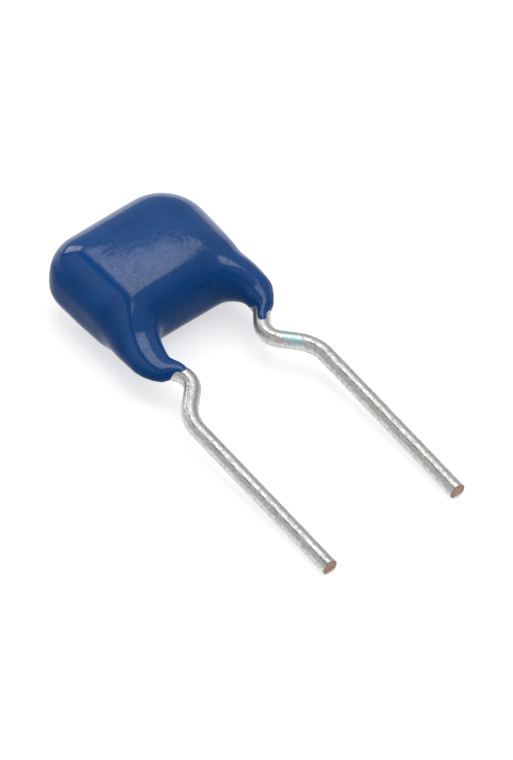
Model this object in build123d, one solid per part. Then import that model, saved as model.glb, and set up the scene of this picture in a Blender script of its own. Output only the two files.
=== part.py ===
"""Dipped multilayer ceramic capacitor with two crimped radial leads, lying on its back.

Drawn with X across the leads, Y from their cut ends to the top of the body, and Z from the
back face to the front. At the end everything is laid down as it comes to rest, with the
lower edge of the back and the two cut ends on the ground, and the origin under its middle.
"""
from build123d import *

import os
from math import asin, atan2, degrees, hypot, radians, tan

# Leads
lead_spacing = 5.0
wire_diameter = 0.55
lead_straight = 7.19        # from the cut end to the corner where the crimp turns in
crimp_angle = 45.0          # how far the wire turns inward from straight
crimp_reach = 1.18          # how far in the crimp carries the wire
return_angle = 37.0         # how far it turns outward again, up to the chip
shoulder_bend = 1.35        # bend radii on the wire's centre line
knee_bend = 0.65
return_bend = 0.65
solder_overlap = 2.1        # length of wire along the chip's end

# Chip, the fired block with its end caps
chip_length = 3.35
chip_height = 2.5
chip_thickness = 2.0
chip_edge = 0.12            # bevel of the chip's edges
cap_width = 0.6
cap_wall = 0.05

# Solder
solder_gap = 0.05           # between the wire and the end cap
solder_spread = 1.1         # how far the joint spreads across the end cap

# Coating
side_wall = 0.4             # outside each wire
face_wall = 0.5             # in front of the chip and behind it
top_wall = 0.9
base_wall = 0.8
body_corner = 1.35          # seen from the front
body_edge = 1.35            # from the front and back faces to the sides

# Legs of the coating, down each wire to a tongue
bare_wire = 0.35            # from the wire's knee up to the tip of the tongue
leg_length = 1.7            # from there to the underside of the body
inner_cover = 1.85          # coating on the inner side of the wire, at the leg's root
root_inset = 0.02           # how far inside the body's sides and faces the roots start
leg_sections = 12
film = 0.05                 # thickness of the coating where a leg ends
outer_swell = (-0.1, 1.2)   # heights above the tongue where the outer side swells, start and end
inner_start = 0.85          # heights where the other sides start to swell, up to the root
front_start = -0.1
back_start = 0.3
tongue_width = 0.2
outer_recess = 0.5          # how much shorter the coating is at the wire's outer side
inner_recess = 0.8          # and at its inner side

wire_radius = wire_diameter / 2
lead_x = lead_spacing / 2
soldered_x = chip_length / 2 + solder_gap + wire_radius
knee_x = lead_x - crimp_reach
knee_y = lead_straight + crimp_reach / tan(radians(crimp_angle))
tongue_tip = knee_y + bare_wire
body_base = tongue_tip + leg_length
chip_base = body_base + base_wall
body_width = 2 * (soldered_x + wire_radius + side_wall)
body_height = base_wall + chip_height + top_wall
body_thickness = chip_thickness + 2 * face_wall
mid_depth = body_thickness / 2

side_cover = side_wall - root_inset
face_cover = mid_depth - wire_radius - root_inset


def wire_path(side):
    """Centre line from the cut end, in at the crimp and out again to the chip's end."""
    return_y = knee_y + (soldered_x - knee_x) / tan(radians(return_angle))
    corners = [
        (lead_x, 0),
        (lead_x, lead_straight),
        (knee_x, knee_y),
        (soldered_x, return_y),
        (soldered_x, chip_base + solder_overlap),
    ]
    points = [Vector(side * x, y, mid_depth) for x, y in corners]
    return FilletPolyline(*points, radius=[shoulder_bend, knee_bend, return_bend])


def lead(side):
    path = wire_path(side)
    section = Plane(origin=path @ 0, z_dir=path % 0) * Circle(wire_radius)
    return sweep(section, path=path)


def chip_block(length, height, thickness, edge):
    centre = (0, chip_base + chip_height / 2, mid_depth)
    block = Pos(*centre) * Box(length, height, thickness)
    return chamfer(block.edges(), edge)


def ceramic_chip():
    shrink = 2 * cap_wall
    return chip_block(
        chip_length - shrink, chip_height - shrink, chip_thickness - shrink, chip_edge - cap_wall
    )


def termination(side, ceramic):
    """Metal cap wrapped round one end of the fired block."""
    whole = chip_block(chip_length, chip_height, chip_thickness, chip_edge)
    end_x = side * (chip_length - cap_width) / 2
    end = Pos(end_x, chip_base + chip_height / 2, mid_depth) * Box(cap_width, chip_height, chip_thickness)
    return (whole & end) - ceramic


def solder_joint(side, wire, cap):
    """Solder drawn into the corners between the wire and the end cap."""
    face_x = chip_length / 2
    half = solder_spread / 2
    foot = Vector(face_x, half)
    crest = Vector(soldered_x, wire_radius)
    with BuildSketch() as profile:
        with BuildLine():
            upper = TangentArc(foot, crest, tangent=(0, -1))
            Line(crest, (soldered_x, -wire_radius))
            mirror(upper, about=Plane.XZ)
            Line((face_x, -half), foot)
        make_face()
    length = chip_height - 2 * chip_edge
    base = Plane(origin=(0, chip_base + chip_edge, mid_depth), x_dir=(side, 0, 0), z_dir=(0, 1, 0))
    return extrude(base * profile.sketch, amount=length) - wire - cap


def wire_x(height):
    """Distance of the wire from the middle, between its knee and the chip."""
    return min(soldered_x, knee_x + (height - knee_y) * tan(radians(return_angle)))


def swell(height, full, start, end):
    """Coating over the wire at a height above the tongue, eased in at the start and end."""
    share = min(1, max(0, (height - start) / (end - start)))
    return film + (full - film) * share * share * (3 - 2 * share)


def coating_leg(side):
    """Funnel of coating that runs down the wire from a wide root inside the body."""
    lowest = -bare_wire / 2
    root = leg_length + body_edge
    sections = []
    for number in range(leg_sections):
        rise = lowest + (root - lowest) * number / (leg_sections - 1)
        height = tongue_tip + rise
        inside = swell(rise, inner_cover, inner_start, root)
        outside = swell(rise, side_cover, *outer_swell)
        front = swell(rise, face_cover, front_start, root)
        back = swell(rise, face_cover, back_start, root)
        middle = (side * (wire_x(height) + (outside - inside) / 2), height, mid_depth + (front - back) / 2)
        across = Plane(origin=middle, x_dir=(1, 0, 0), z_dir=(0, 1, 0))
        half_width = wire_radius + (inside + outside) / 2
        half_depth = wire_radius + (front + back) / 2
        sections.append(across * Ellipse(half_width, half_depth))
    return loft(sections)


def leg_end_cut(side):
    """Takes off the end of a leg, down to a tongue on the front and back of the wire."""
    reach = 2 * wire_diameter
    outline = [
        (-tongue_width / 2, 0),
        (tongue_width / 2, 0),
        (wire_radius, outer_recess),
        (reach, outer_recess),
        (reach, -reach),
        (-reach, -reach),
        (-reach, inner_recess),
        (-wire_radius, inner_recess),
    ]
    along_wire = Pos(wire_x(tongue_tip), tongue_tip) * Rot(0, 0, -return_angle)
    cut = extrude(along_wire * Polygon(*outline, align=None), amount=body_thickness, both=True)
    return cut if side > 0 else mirror(cut, about=Plane.YZ)


def dipped_coating(inner_pieces):
    outline = RectangleRounded(body_width, body_height, body_corner)
    body = extrude(Pos(0, body_base + body_height / 2) * outline, amount=body_thickness)
    flat_faces = body.faces().filter_by(Axis.Z)
    shell = fillet(flat_faces.edges(), body_edge)
    for side in (-1, 1):
        shell += coating_leg(side) - leg_end_cut(side)
    for piece in inner_pieces:
        shell -= piece
    return shell


def rest_tilt():
    """Angle that puts the lower back edge of the body and the cut ends on one level."""
    reach = body_base + body_edge
    rise = body_edge - (mid_depth - wire_radius)
    return degrees(asin(body_edge / hypot(reach, rise)) - atan2(rise, reach))


ceramic = ceramic_chip()
nodes = {"ceramic_chip": ceramic}
for name, side in (("left", -1), ("right", 1)):
    wire = lead(side)
    cap = termination(side, ceramic)
    nodes["lead_" + name] = wire
    nodes["termination_" + name] = cap
    nodes["solder_joint_" + name] = solder_joint(side, wire, cap)
nodes["dipped_coating"] = dipped_coating(nodes.values())

laid_down = Rot(rest_tilt(), 0, 0)
box = Compound([laid_down * piece for piece in nodes.values()]).bounding_box()
on_ground = Pos(0, -(box.min.Y + box.max.Y) / 2, -box.min.Z)

os.makedirs("parts", exist_ok=True)
for name, piece in nodes.items():
    export_step(on_ground * laid_down * piece, f"parts/{name}.step")
print("rest tilt", round(rest_tilt(), 3), "box", box.size)
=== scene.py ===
import math
import bpy
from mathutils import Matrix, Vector


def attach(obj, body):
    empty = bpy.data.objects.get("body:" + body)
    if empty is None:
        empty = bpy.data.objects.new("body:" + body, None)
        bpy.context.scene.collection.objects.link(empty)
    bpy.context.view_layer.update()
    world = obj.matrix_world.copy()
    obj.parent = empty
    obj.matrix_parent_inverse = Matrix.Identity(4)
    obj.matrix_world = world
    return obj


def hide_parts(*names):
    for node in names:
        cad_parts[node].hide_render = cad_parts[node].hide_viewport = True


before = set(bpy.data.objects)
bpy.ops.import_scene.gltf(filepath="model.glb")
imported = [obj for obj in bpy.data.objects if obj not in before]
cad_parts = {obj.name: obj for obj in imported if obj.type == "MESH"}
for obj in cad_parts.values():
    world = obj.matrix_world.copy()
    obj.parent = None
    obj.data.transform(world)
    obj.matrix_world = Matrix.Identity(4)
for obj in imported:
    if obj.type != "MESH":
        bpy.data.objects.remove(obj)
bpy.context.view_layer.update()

# The pieces are drawn lying flat, in millimetres: X across the leads, Y from their cut
# ends to the top of the body, Z up from the plane of the two wires.
restPlace = {
    "tilt": 5.977,             # degrees that the body end is raised by, as it rests
    "cutEndY": -7.2674,        # where the cut ends lie, mm
    "cutEndZ": 0.2735,
    "millimetre": 0.001,
}
closeEnough = 0.01             # mm, within which two places count as one


def leaveEditMode():
    if bpy.context.object is not None and bpy.context.object.mode != "OBJECT":
        bpy.ops.object.mode_set(mode="OBJECT")


def deselectEverything():
    leaveEditMode()
    bpy.ops.object.select_all(action="DESELECT")


def workOn(*pieces):
    deselectEverything()
    for piece in pieces:
        piece.select_set(True)
    bpy.context.view_layer.objects.active = pieces[0]


def newPiece(name):
    piece = bpy.context.object
    piece.name = name
    piece.data.name = name
    return piece


def selectWhere(piece, test):
    # test is given a vertex's place, an edge's two ends or a face's middle and normal
    bpy.ops.object.mode_set(mode="OBJECT")
    mesh = piece.data
    for part in (*mesh.vertices, *mesh.edges, *mesh.polygons):
        part.select = False
    byVertex, byEdge = bpy.context.tool_settings.mesh_select_mode[:2]
    if byVertex:
        for vertex in mesh.vertices:
            vertex.select = test(vertex.co)
    elif byEdge:
        for edge in mesh.edges:
            edge.select = test(*(mesh.vertices[i].co for i in edge.vertices))
    else:
        for face in mesh.polygons:
            face.select = test(face.center, face.normal)
    bpy.ops.object.mode_set(mode="EDIT")


def editBy(mode):
    bpy.ops.object.mode_set(mode="EDIT")
    bpy.ops.mesh.select_mode(type=mode)


def applyModifiers(piece):
    workOn(piece)
    for modifier in list(piece.modifiers):
        bpy.ops.object.modifier_apply(modifier=modifier.name)


def applyTransform():
    bpy.ops.object.transform_apply(location=True, rotation=True, scale=True)


def layDown(piece):
    # from the flat drawing in millimetres to the shared frame in metres
    workOn(piece)
    piece.scale = (restPlace["millimetre"],) * 3
    piece.rotation_euler = (math.radians(restPlace["tilt"]), 0, 0)
    piece.location = (
        0,
        restPlace["cutEndY"] * restPlace["millimetre"],
        restPlace["cutEndZ"] * restPlace["millimetre"],
    )
    applyTransform()
    bpy.ops.object.shade_smooth()


# Leads
wireShape = {
    "radius": 0.275,
    "corners": [
        # x from the middle, y, z, bend radius there
        (2.50, 0.0, 0.0, 0.0),
        (2.50, 7.19, 0.0, 1.35),
        (1.32, 8.37, 0.0, 0.65),
        (2.00, 9.272, 0.0, 0.65),
        (2.00, 10.6, 0.0, 0.0),
    ],
    "around": 48,
    "stepLength": 0.06,
    "bendSteps": 12,
}
# The cut end: a rim, a ring that stands out a little, and a dent in its middle.
cutEnd = {"rim": 0.03, "bulge": 0.02, "ring": 0.06, "dent": 0.012, "facing": 0.9}


def bentLine(corners, steps):
    # the line through the corners, with an arc of the given radius at each inner one
    line = [Vector(corners[0][:3])]
    for before, here, after in zip(corners, corners[1:], corners[2:]):
        a, b, c = (Vector(p[:3]) for p in (before, here, after))
        inward, onward = (a - b).normalized(), (c - b).normalized()
        turn = math.pi - inward.angle(onward)
        reach = here[3] * math.tan(turn / 2)
        centre = b + (inward + onward).normalized() * here[3] / math.cos(turn / 2)
        start = b + inward * reach - centre
        end = b + onward * reach - centre
        for k in range(steps + 1):
            line.append(centre + start.slerp(end, k / steps) * here[3])
    line.append(Vector(corners[-1][:3]))
    return line


def makeGuide(line):
    bpy.ops.curve.primitive_bezier_curve_add()
    guide = newPiece("wireGuide")
    guide.data.splines.clear()
    spline = guide.data.splines.new("POLY")
    spline.points.add(len(line) - 1)
    for point, place in zip(spline.points, line):
        point.co = (*place, 1)
    guide.data.twist_mode = "Z_UP"
    return guide


def shapeCutEnd(wire):
    editBy("FACE")
    selectWhere(
        wire,
        lambda middle, normal: normal.z < -cutEnd["facing"] and abs(middle.z) < closeEnough,
    )
    bpy.ops.mesh.inset(thickness=cutEnd["rim"])
    bpy.ops.transform.translate(value=(0, 0, -cutEnd["bulge"]))
    bpy.ops.mesh.inset(thickness=cutEnd["ring"])
    bpy.ops.transform.translate(value=(0, 0, cutEnd["dent"]))
    leaveEditMode()


def makeWire(shape, side, name):
    # a straight cylinder, cut into short steps and then bent along its guide
    corners = [(side * x, y, z, radius) for x, y, z, radius in shape["corners"]]
    line = bentLine(corners, shape["bendSteps"])
    length = sum((b - a).length for a, b in zip(line, line[1:]))
    guide = makeGuide(line)
    deselectEverything()
    bpy.ops.mesh.primitive_cylinder_add(
        vertices=shape["around"], radius=shape["radius"], depth=length,
        location=(0, 0, length / 2), end_fill_type="NGON",
    )
    wire = newPiece(name)
    applyTransform()
    editBy("EDGE")
    selectWhere(wire, lambda a, b: abs(a.z - b.z) > length / 2)
    bpy.ops.mesh.subdivide(number_cuts=round(length / shape["stepLength"]))
    shapeCutEnd(wire)
    bend = wire.modifiers.new("bend", "CURVE")
    bend.object = guide
    bend.deform_axis = "POS_Z"
    applyModifiers(wire)
    bpy.data.objects.remove(guide)
    return wire


# Coating
bodyShape = {
    "left": -2.71,
    "right": 2.64,
    "base": 10.48,
    "top": 14.65,
    "thickness": 3.02,
    "edgeRadius": 1.30,
    "segments": 14,
    # radius by side in X and Y
    "corners": {(-1, 1): 1.15, (1, 1): 1.7, (-1, -1): 1.35, (1, -1): 0.95},
}
# Each leg swells from the wire to the body. A wall is a thin film from the height where
# it begins, thickens to its full measure and then eases to what it keeps inside the body.
legShape = {
    "around": 36,
    "rings": 26,
    "lowest": 8.4,
    "highest": 12.0,
    "film": 0.05,
    "dive": 0.09,              # how deep the leg lies inside the wire below its end
    "edge": 0.14,              # length over which the film rises out of the wire
    # wall: heights begins, start, swollen and settled, then thickness full and kept
    "right": {
        "inside": (9.40, 9.60, 11.8, 12.5, 1.75, 1.75),
        "outside": (9.14, 9.04, 9.75, 11.4, 0.47, 0.38),
        "front": (8.69, 8.75, 10.9, 11.6, 0.92, 0.92),
        "behind": (8.95, 9.5, 12.0, 12.5, 1.2, 1.2),
    },
    "left": {
        "inside": (8.68, 8.75, 9.35, 12.3, 0.20, 1.75),
        "outside": (8.95, 8.75, 9.75, 11.3, 0.47, 0.40),
        "front": (8.56, 8.65, 10.0, 11.1, 0.38, 0.95),
        "behind": (8.95, 9.3, 12.0, 12.5, 1.2, 1.2),
    },
}
dipShape = {
    "voxel": 0.045,
    "softness": 0.5,           # how far each pass of a smoothing goes
    # heights between which a smoothing takes hold and lets go again, and its passes
    "smoothings": [
        (8.0, 8.4, 20.0, 21.0, 3),
        (9.3, 10.2, 20.0, 21.0, 30),
        (9.5, 10.2, 11.2, 12.2, 160),
    ],
    "grip": 0.05,              # depth of what a push moves in full, from the nearest point
    "pushes": [
        # place, how far round it, and which way
        ((-0.2, 11.7, 1.5), 3.2, (0, 0, 0.16)),        # the front face bulges
        ((-2.5, 13.9, -0.3), 1.3, (-0.05, 0.02, 0)),   # fuller upper left corner
        ((-2.7, 11.7, -0.5), 1.1, (0.08, 0, 0)),       # waist above the left leg
    ],
}
smallestTurn = 1e-6            # radians


def makeBody(shape):
    width = shape["right"] - shape["left"]
    height = shape["top"] - shape["base"]
    middle = Vector((shape["left"] + width / 2, shape["base"] + height / 2, 0))
    bpy.ops.mesh.primitive_cube_add(size=1, location=middle)
    body = newPiece("coatingBody")
    body.scale = (width, height, shape["thickness"])
    applyTransform()
    editBy("EDGE")
    for (sideX, sideY), radius in shape["corners"].items():
        corner = middle + Vector((sideX * width / 2, sideY * height / 2, 0))

        def uprightEdge(*ends):
            return all(
                abs(p.x - corner.x) < closeEnough and abs(p.y - corner.y) < closeEnough
                for p in ends
            )

        selectWhere(body, uprightEdge)
        bpy.ops.mesh.bevel(offset=radius, segments=shape["segments"], affect="EDGES")
    half = shape["thickness"] / 2
    selectWhere(
        body,
        lambda a, b: abs(abs(a.z) - half) < closeEnough and abs(a.z - b.z) < closeEnough,
    )
    bpy.ops.mesh.bevel(offset=shape["edgeRadius"], segments=shape["segments"], affect="EDGES")
    leaveEditMode()
    return body


def ease(value, start, end):
    share = min(1, max(0, (value - start) / (end - start)))
    return share * share * (3 - 2 * share)


def wallAt(shape, wall, y):
    begins, start, swollen, settled, full, kept = wall
    film = (shape["film"] + shape["dive"]) * ease(
        y, begins - shape["edge"], begins + shape["edge"]
    )
    swell = (full - shape["film"]) * ease(y, start, swollen)
    return film - shape["dive"] + swell + (kept - full) * ease(y, swollen, settled)


def wireAt(line, y):
    # where the wire's centre line passes the height y, and the way that it runs there
    for a, b in zip(line, line[1:]):
        if a.y <= y <= b.y:
            return a.lerp(b, (y - a.y) / (b.y - a.y)), (b - a).normalized()
    return Vector((line[-1].x, y, 0)), Vector((0, 1, 0))


def legRing(shape, walls, line, number):
    # middle of a ring, its turn about the upright, and its half width and half depth
    y = shape["lowest"] + (shape["highest"] - shape["lowest"]) * number / (shape["rings"] - 1)
    place, along = wireAt(line, y)
    inside, outside, front, behind = (
        wallAt(shape, walls[name], y) for name in ("inside", "outside", "front", "behind")
    )
    across = Vector((along.y, -along.x, 0))
    middle = place + across * (outside - inside) / 2 + Vector((0, 0, (front - behind) / 2))
    radius = wireShape["radius"]
    sizes = (radius + (inside + outside) / 2, radius + (front + behind) / 2)
    return middle, math.atan2(along.x, along.y), sizes


def turnAbout(middle, angle):
    # run without a window, a positive value turns clockwise as seen from above
    if abs(angle) > smallestTurn:
        bpy.ops.transform.rotate(value=angle, orient_axis="Z", center_override=middle)


def makeLeg(shape, side):
    # a circle round the wire, extruded from ring to ring and resized at each
    line = bentLine(wireShape["corners"], wireShape["bendSteps"])
    walls = shape["right" if side > 0 else "left"]
    bpy.ops.mesh.primitive_circle_add(
        vertices=shape["around"], radius=1, fill_type="NGON", rotation=(math.radians(90), 0, 0)
    )
    leg = newPiece("coatingLeg")
    applyTransform()
    editBy("VERT")
    bpy.ops.mesh.select_all(action="SELECT")
    lastMiddle, lastTurn, lastSizes = Vector((0, 0, 0)), 0.0, (1.0, 1.0)
    for number in range(shape["rings"]):
        middle, turn, sizes = legRing(shape, walls, line, number)
        if number:
            bpy.ops.mesh.extrude_region_move()
        bpy.ops.transform.translate(value=middle - lastMiddle)
        turnAbout(middle, -lastTurn)
        bpy.ops.transform.resize(
            value=(sizes[0] / lastSizes[0], 1, sizes[1] / lastSizes[1]), center_override=middle
        )
        turnAbout(middle, turn)
        lastMiddle, lastTurn, lastSizes = middle, turn, sizes
    leaveEditMode()
    if side < 0:
        leg.scale.x = -1
        workOn(leg)
        applyTransform()
    editBy("VERT")
    bpy.ops.mesh.select_all(action="SELECT")
    bpy.ops.mesh.normals_make_consistent(inside=False)
    leaveEditMode()
    return leg


def settle(coating, number, smoothing):
    # smooths the coating between two heights, more at full hold than at the ends
    low, lowFull, highFull, high, passes = smoothing
    zone = coating.vertex_groups.new(name="zone" + str(number))
    for vertex in coating.data.vertices:
        y = vertex.co.y
        hold = ease(y, low, lowFull) * (1 - ease(y, highFull, high))
        zone.add([vertex.index], hold, "REPLACE")
    modifier = coating.modifiers.new("settle" + str(number), "SMOOTH")
    modifier.factor = dipShape["softness"]
    modifier.iterations = passes
    modifier.vertex_group = zone.name


def push(piece, place, reach, shift):
    # moves what lies round a place on the surface, less and less out to the reach
    editBy("VERT")
    nearest = min((vertex.co - place).length for vertex in piece.data.vertices)
    selectWhere(piece, lambda point: (point - place).length < nearest + dipShape["grip"])
    bpy.ops.transform.translate(
        value=shift, use_proportional_edit=True, proportional_edit_falloff="SMOOTH",
        proportional_size=reach,
    )
    leaveEditMode()


def makeCoating():
    body = makeBody(bodyShape)
    legs = [makeLeg(legShape, side) for side in (-1, 1)]
    workOn(body, *legs)
    bpy.ops.object.join()
    coating = newPiece("epoxyCoating")
    melt = coating.modifiers.new("melt", "REMESH")
    melt.mode = "VOXEL"
    melt.voxel_size = dipShape["voxel"]
    applyModifiers(coating)
    for number, smoothing in enumerate(dipShape["smoothings"]):
        settle(coating, number, smoothing)
    applyModifiers(coating)
    coating.vertex_groups.clear()
    for place, reach, shift in dipShape["pushes"]:
        push(coating, Vector(place), reach, shift)
    return coating


# Materials
# A noise is given as its steps per millimetre, detail and roughness. A range is what comes
# out at its low and its high end, then what goes in there. Depths are in millimetres.
white = (1, 1, 1, 1)


class Graph:
    # the nodes of one material or of the world

    def __init__(self, owner):
        owner.use_nodes = True
        self.nodes = owner.node_tree.nodes
        self.links = owner.node_tree.links

    def add(self, kind, **values):
        node = self.nodes.new(kind)
        for key, value in values.items():
            setattr(node, key, value)
        return node

    def join(self, output, socket):
        self.links.new(output, socket)

    def axesOf(self, vector):
        node = self.add("ShaderNodeSeparateXYZ")
        self.join(vector, node.inputs["Vector"])
        return node.outputs

    def ranged(self, value, low, high, fromLow=0.3, fromHigh=0.7, kind="LINEAR"):
        node = self.add("ShaderNodeMapRange", interpolation_type=kind)
        self.join(value, node.inputs["Value"])
        ends = {"From Min": fromLow, "From Max": fromHigh, "To Min": low, "To Max": high}
        for key, number in ends.items():
            node.inputs[key].default_value = number
        return node.outputs["Result"]

    def maths(self, operation, *values):
        node = self.add("ShaderNodeMath", operation=operation)
        for socket, value in zip(node.inputs, values):
            if isinstance(value, float):
                socket.default_value = value
            else:
                self.join(value, socket)
        return node.outputs[0]


class Finish(Graph):
    # a material and its shader; a mix node finds its colour sockets by number, because
    # those for other values have the same names
    mixSockets = {"share": 0, "first": 6, "second": 7, "result": 2}

    def __init__(self, name):
        self.material = bpy.data.materials.new(name)
        super().__init__(self.material)
        self.shader = self.nodes["Principled BSDF"]
        self.coordinates = self.add("ShaderNodeTexCoord").outputs

    def constant(self, name, value):
        self.shader.inputs[name].default_value = value

    def drive(self, name, output):
        self.join(output, self.shader.inputs[name])

    def noise(self, perMillimetre, detail, rough=0.5):
        steps = perMillimetre if isinstance(perMillimetre, tuple) else (perMillimetre,) * 3
        mapping = self.add("ShaderNodeMapping")
        self.join(self.coordinates["Object"], mapping.inputs["Vector"])
        mapping.inputs["Scale"].default_value = [s / restPlace["millimetre"] for s in steps]
        node = self.add("ShaderNodeTexNoise")
        self.join(mapping.outputs["Vector"], node.inputs["Vector"])
        node.inputs["Scale"].default_value = 1.0
        node.inputs["Detail"].default_value = detail
        node.inputs["Roughness"].default_value = rough
        return node.outputs["Fac"]

    def mixed(self, share, first, second):
        node = self.add("ShaderNodeMix", data_type="RGBA")
        self.join(share, node.inputs[self.mixSockets["share"]])
        for name, colour in (("first", first), ("second", second)):
            socket = node.inputs[self.mixSockets[name]]
            if isinstance(colour, tuple):
                socket.default_value = (*colour, 1)
            else:
                self.join(colour, socket)
        return node.outputs[self.mixSockets["result"]]

    def bump(self, *heights):
        # heights: value and depth, each laid over the one before
        normal = None
        for value, depth in heights:
            node = self.add("ShaderNodeBump")
            self.join(value, node.inputs["Height"])
            node.inputs["Distance"].default_value = depth * restPlace["millimetre"]
            if normal is not None:
                self.join(normal, node.inputs["Normal"])
            normal = node.outputs["Normal"]
        self.drive("Normal", normal)


epoxy = {
    "colour": (0.003, 0.054, 0.210),
    "paleColour": (0.003, 0.065, 0.245),
    "roughness": (0.08, 0.16),
    "refraction": 1.5,
    # on the sides and on what faces up, and how far up the normal points there
    "gloss": (0.05, 0.5, 0.45, 0.85),
    "grain": (0.6, 1.4),        # how much the gloss varies from speck to speck
    "cloud": (0.9, 3.0),
    "speck": (11.0, 3.0, 0.6),
    "speckDepth": 0.0016,
    "wave": (2.2, 2.0),
    "waveDepth": 0.006,
}


def makeEpoxy(look):
    finish = Finish("blueEpoxy")
    cloud = finish.noise(*look["cloud"])
    speck = finish.noise(*look["speck"])
    wave = finish.noise(*look["wave"])
    pale = finish.ranged(cloud, 0, 1)
    finish.drive("Base Color", finish.mixed(pale, look["colour"], look["paleColour"]))
    finish.drive("Roughness", finish.ranged(speck, *look["roughness"]))
    finish.constant("IOR", look["refraction"])
    gloss = finish.ranged(finish.axesOf(finish.coordinates["Normal"])["Z"], *look["gloss"])
    grain = finish.ranged(speck, *look["grain"])
    finish.drive("Specular IOR Level", finish.maths("MULTIPLY", gloss, grain))
    finish.bump((speck, look["speckDepth"]), (wave, look["waveDepth"]))
    return finish.material


tin = {
    "colour": (0.69, 0.68, 0.665),
    "dullColour": (0.45, 0.445, 0.43),
    "roughness": (0.34, 0.54),
    "mottle": ((7.0, 2.2, 7.0), 4.0, 0.65),
    "mottleDull": (0.4, 1, 0.35, 0.6),
    "mottleDepth": 0.006,
    "grain": ((14.0, 8.0, 14.0), 2.0, 0.6),
    "grainDull": (0, 1, 0.38, 0.62),
    "grainDepth": 0.004,
    # painted shade: a dark line along the top of each wire, standing in for the reflection of
    # a dark gap in the room; its place and width in shares of the way round
    "paintedDarkLine": {
        "around": 0.932,
        "width": 0.016,
        "wander": 0.014,
        "wandering": (1.2, 2.0),
        "broken": (2.6, 3.0),
        "brokenDark": (0.15, 1, 0.4, 0.55),
        "colour": (0.09, 0.088, 0.084),
    },
    # a painted bluish highlight in the bend of the right wire, in metres and degrees
    "paintedHighlight": {
        "place": (0.00193, 0.00025, 0.0013),
        "size": (0.00050, 0.00015, 0.0003),
        "turn": -57,
        "fade": (0.6, 1.1),     # in shares of its size
        "grainClear": (0.3, 1, 0.35, 0.6),
        "colour": (0.42, 0.66, 0.72),
    },
}


# painted shade: a dark line at a set share of the way round the wire, standing in for a dark
# reflection
def paintedDarkLineMask(finish, paintedDarkLine):
    around = finish.axesOf(finish.add("ShaderNodeUVMap").outputs["UV"])["X"]
    half = paintedDarkLine["wander"] / 2
    wander = finish.ranged(finish.noise(*paintedDarkLine["wandering"]), -half, half)
    off = finish.maths("ADD", finish.maths("SUBTRACT", around, paintedDarkLine["around"]), wander)
    inPaintedLine = finish.ranged(finish.maths("ABSOLUTE", off), 1, 0, 0, paintedDarkLine["width"])
    dark = finish.ranged(finish.noise(*paintedDarkLine["broken"]), *paintedDarkLine["brokenDark"])
    return finish.maths("MULTIPLY", inPaintedLine, dark)


# painted highlight: a pale bluish spot in the bend of the right wire, broken up by the grain
def paintedHighlightSpot(finish, paintedHighlight, grain):
    offHighlight = finish.add("ShaderNodeMapping", vector_type="TEXTURE")
    finish.join(finish.coordinates["Object"], offHighlight.inputs["Vector"])
    offHighlight.inputs["Location"].default_value = paintedHighlight["place"]
    offHighlight.inputs["Rotation"].default_value = (0, 0, math.radians(paintedHighlight["turn"]))
    offHighlight.inputs["Scale"].default_value = paintedHighlight["size"]
    reach = finish.add("ShaderNodeVectorMath", operation="LENGTH")
    finish.join(offHighlight.outputs["Vector"], reach.inputs[0])
    inHighlight = finish.ranged(reach.outputs["Value"], 1, 0, *paintedHighlight["fade"])
    return finish.maths("MULTIPLY", inHighlight, finish.ranged(grain, *paintedHighlight["grainClear"]))


def makeTin(look):
    finish = Finish("tinPlating")
    finish.constant("Metallic", 1.0)
    mottle = finish.noise(*look["mottle"])
    grain = finish.noise(*look["grain"])
    mottleDull = finish.ranged(mottle, *look["mottleDull"])
    grainDull = finish.ranged(grain, *look["grainDull"])
    dull = finish.maths("MULTIPLY", mottleDull, grainDull)
    plain = finish.mixed(dull, look["colour"], look["dullColour"])
    # painted shade: the dark line along the top of each wire, in place of a dark reflection
    paintedDarkLine = paintedDarkLineMask(finish, look["paintedDarkLine"])
    withPaintedLine = finish.mixed(paintedDarkLine, plain, look["paintedDarkLine"]["colour"])
    # painted highlight: a pale bluish spot laid over the tin in the bend of the right wire
    paintedHighlight = paintedHighlightSpot(finish, look["paintedHighlight"], grain)
    finish.drive("Base Color", finish.mixed(paintedHighlight, withPaintedLine, look["paintedHighlight"]["colour"]))
    finish.drive("Roughness", finish.ranged(grain, *look["roughness"]))
    finish.bump((mottle, look["mottleDepth"]), (grain, look["grainDepth"]))
    return finish.material


cutFace = {
    "coreColour": (0.36, 0.30, 0.24),
    "copperColour": (0.36, 0.21, 0.15),
    "shadeColour": (0.12, 0.09, 0.08),
    "roughness": (0.35, 0.55),
    "patch": (5.0, 3.0),
    "patchCopper": (0, 1, 0.4, 0.6),
    "scratch": ((14.0, 60.0, 14.0), 2.0),
    "scratchShade": (0, 0.7, 0.45, 0.7),
    "scratchDepth": 0.008,
    # which faces of the wire it lies on
    "reach": 0.00005,           # metres from the cut end
    "facing": 0.7,
}


def makeCutFace(look):
    finish = Finish("cutWireFace")
    finish.constant("Metallic", 1.0)
    patch = finish.noise(*look["patch"])
    scratch = finish.noise(*look["scratch"])
    copper = finish.ranged(patch, *look["patchCopper"])
    colour = finish.mixed(copper, look["coreColour"], look["copperColour"])
    shade = finish.ranged(scratch, *look["scratchShade"])
    finish.drive("Base Color", finish.mixed(shade, colour, look["shadeColour"]))
    finish.drive("Roughness", finish.ranged(scratch, *look["roughness"]))
    finish.bump((scratch, look["scratchDepth"]))
    return finish.material


def coverCutFace(wire, look):
    # puts the wire's second material on its cut end
    endY = min(vertex.co.y for vertex in wire.data.vertices)
    for face in wire.data.polygons:
        if face.center.y < endY + look["reach"] and face.normal.y < -look["facing"]:
            face.material_index = 1


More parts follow.
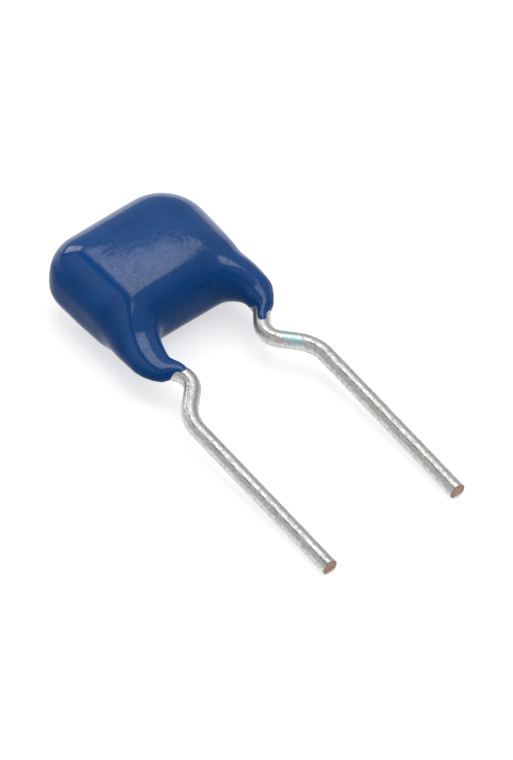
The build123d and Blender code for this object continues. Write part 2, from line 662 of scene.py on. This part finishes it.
# The pieces inside the coating keep their solids, found by the start of their names.
hidden = {
    "ceramic_chip": {
        "name": "firedCeramic",
        "colours": ((0.20, 0.13, 0.085), (0.27, 0.18, 0.12)),
        "metallic": 0.0,
        "roughness": (0.55, 0.75),
        "grain": (6.0, 4.0),
        "grainDepth": 0.004,
    },
    "termination": {
        "name": "firedSilver",
        "colours": ((0.52, 0.50, 0.46), (0.62, 0.60, 0.56)),
        "metallic": 1.0,
        "roughness": (0.4, 0.6),
        "grain": (14.0, 4.0),
        "grainDepth": 0.004,
    },
    "solder_joint": {
        "name": "dullSolder",
        "colours": ((0.42, 0.42, 0.43), (0.55, 0.55, 0.56)),
        "metallic": 1.0,
        "roughness": (0.3, 0.5),
        "grain": (5.0, 4.0),
        "grainDepth": 0.004,
    },
}


def makeHidden(look):
    finish = Finish(look["name"])
    finish.constant("Metallic", look["metallic"])
    grain = finish.noise(*look["grain"])
    finish.drive("Base Color", finish.mixed(finish.ranged(grain, 0, 1), *look["colours"]))
    finish.drive("Roughness", finish.ranged(grain, *look["roughness"]))
    finish.bump((grain, look["grainDepth"]))
    return finish.material


deselectEverything()
coating = makeCoating()
print("coating made,", len(coating.data.polygons), "faces")
layDown(coating)
coating.data.materials.clear()
coating.data.materials.append(makeEpoxy(epoxy))
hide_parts("dipped_coating")
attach(coating, "root")

tinPlating = makeTin(tin)
cutWireFace = makeCutFace(cutFace)
for side, node in ((-1, "lead_left"), (1, "lead_right")):
    wire = makeWire(wireShape, side, "wireLeft" if side < 0 else "wireRight")
    layDown(wire)
    wire.data.materials.clear()
    wire.data.materials.append(tinPlating)
    wire.data.materials.append(cutWireFace)
    coverCutFace(wire, cutFace)
    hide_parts(node)
    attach(wire, "root")
print("leads made")

for start, look in hidden.items():
    material = makeHidden(look)
    for node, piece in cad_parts.items():
        if node.startswith(start):
            for materialSlot in piece.material_slots:
                materialSlot.material = material
print("hidden pieces finished")

# Stage
floorLook = {
    "radius": 0.3,
    "around": 128,
    "colour": 0.62,
    "roughness": 0.9,
    "specular": 0.1,
    "lift": 0.6,                # glow that is only seen, and lights nothing
}


def makePaper(look):
    finish = Finish("palePaper")
    finish.constant("Base Color", (look["colour"],) * 3 + (1,))
    finish.constant("Roughness", look["roughness"])
    finish.constant("Specular IOR Level", look["specular"])
    finish.constant("Emission Color", white)
    rays = finish.add("ShaderNodeLightPath").outputs
    seen = finish.maths("MAXIMUM", rays["Is Camera Ray"], rays["Is Glossy Ray"])
    seen = finish.maths("MAXIMUM", seen, rays["Is Transmission Ray"])
    finish.drive("Emission Strength", finish.maths("MULTIPLY", seen, look["lift"]))
    return finish.material


def makeFloor(look):
    bpy.ops.mesh.primitive_circle_add(
        vertices=look["around"], radius=look["radius"], fill_type="NGON", location=(0, 0, 0)
    )
    floor = newPiece("paleFloor")
    floor.data.materials.append(makePaper(look))


# Places and sizes in metres. A lamp faces the object, or straight down if it says so.
studio = {
    "softbox": {
        "place": (0.0635, -0.0045, 0.30),
        "size": (0.229, 0.351),
        "radiance": 2.05,
        "down": True,
    },
    "backWindow": {
        "place": (-0.021, 0.10, 0.060),
        "size": (0.034, 0.085),
        "radiance": 3.3,
        "down": False,
    },
}


def addLamp(name, lamp):
    place = Vector(lamp["place"])
    width, height = lamp["size"]
    bpy.ops.object.light_add(type="AREA", location=place)
    light = bpy.context.object
    light.name = name
    light.data.shape = "RECTANGLE"
    light.data.size, light.data.size_y = width, height
    light.data.energy = lamp["radiance"] * math.pi * width * height
    if not lamp["down"]:
        light.rotation_mode = "QUATERNION"
        light.rotation_quaternion = place.to_track_quat("Z", "Y")


# Strength of the room's light by direction: a little less towards the back, and a dark
# gap between two walls, which each fade over a range in X.
sky = {
    "fade": (0.46, 0.44, -0.5, 0.3),
    "leftWall": (1.3, 0.2, -0.50, -0.38),
    "rightWall": (0.2, 1.0, -0.30, -0.18),
}


def makeRoom(look):
    world = bpy.data.worlds.new("studioRoom")
    bpy.context.scene.world = world
    room = Graph(world)
    toward = room.axesOf(room.add("ShaderNodeTexCoord").outputs["Generated"])
    fade = room.ranged(toward["Y"], *look["fade"], kind="SMOOTHSTEP")
    leftWall = room.ranged(toward["X"], *look["leftWall"], kind="SMOOTHSTEP")
    rightWall = room.ranged(toward["X"], *look["rightWall"], kind="SMOOTHSTEP")
    strength = room.maths("MULTIPLY", fade, room.maths("MAXIMUM", leftWall, rightWall))
    background = room.nodes["Background"]
    background.inputs["Color"].default_value = white
    room.join(strength, background.inputs["Strength"])


# Camera
photoView = {
    "toward": (-0.3919, -0.5469, 0.7398),
    "up": (0.4711, 0.5715, 0.6720),
    "pixelsPerMillimetre": 32.27,
    "imageSize": (513, 760),
    "wireEndPixel": (393.75, 529.5),   # where the point between the two cut ends falls
    "distance": 0.25,
    "clip": (0.01, 1.0),
}


def makeCamera(view):
    back = Vector(view["toward"]).normalized()
    up = Vector(view["up"])
    up = (up - back * up.dot(back)).normalized()
    right = up.cross(back)
    width, height = view["imageSize"]
    perPixel = restPlace["millimetre"] / view["pixelsPerMillimetre"]
    target = Vector((0, restPlace["cutEndY"], restPlace["cutEndZ"])) * restPlace["millimetre"]
    target += right * (width / 2 - view["wireEndPixel"][0]) * perPixel
    target -= up * (height / 2 - view["wireEndPixel"][1]) * perPixel
    bpy.ops.object.camera_add(location=target + back * view["distance"])
    camera = bpy.context.object
    camera.name = "photoCamera"
    camera.data.type = "ORTHO"
    camera.data.ortho_scale = height * perPixel
    camera.data.clip_start, camera.data.clip_end = view["clip"]
    camera.rotation_mode = "QUATERNION"
    turned = camera.matrix_world.to_3x3()
    turned.col[0], turned.col[1], turned.col[2] = right, up, back
    camera.rotation_quaternion = turned.to_quaternion()
    bpy.context.scene.camera = camera


makeFloor(floorLook)
for name, lamp in studio.items():
    addLamp(name, lamp)
makeRoom(sky)
makeCamera(photoView)
bpy.context.scene.view_settings.view_transform = "Standard"
print("stage made")
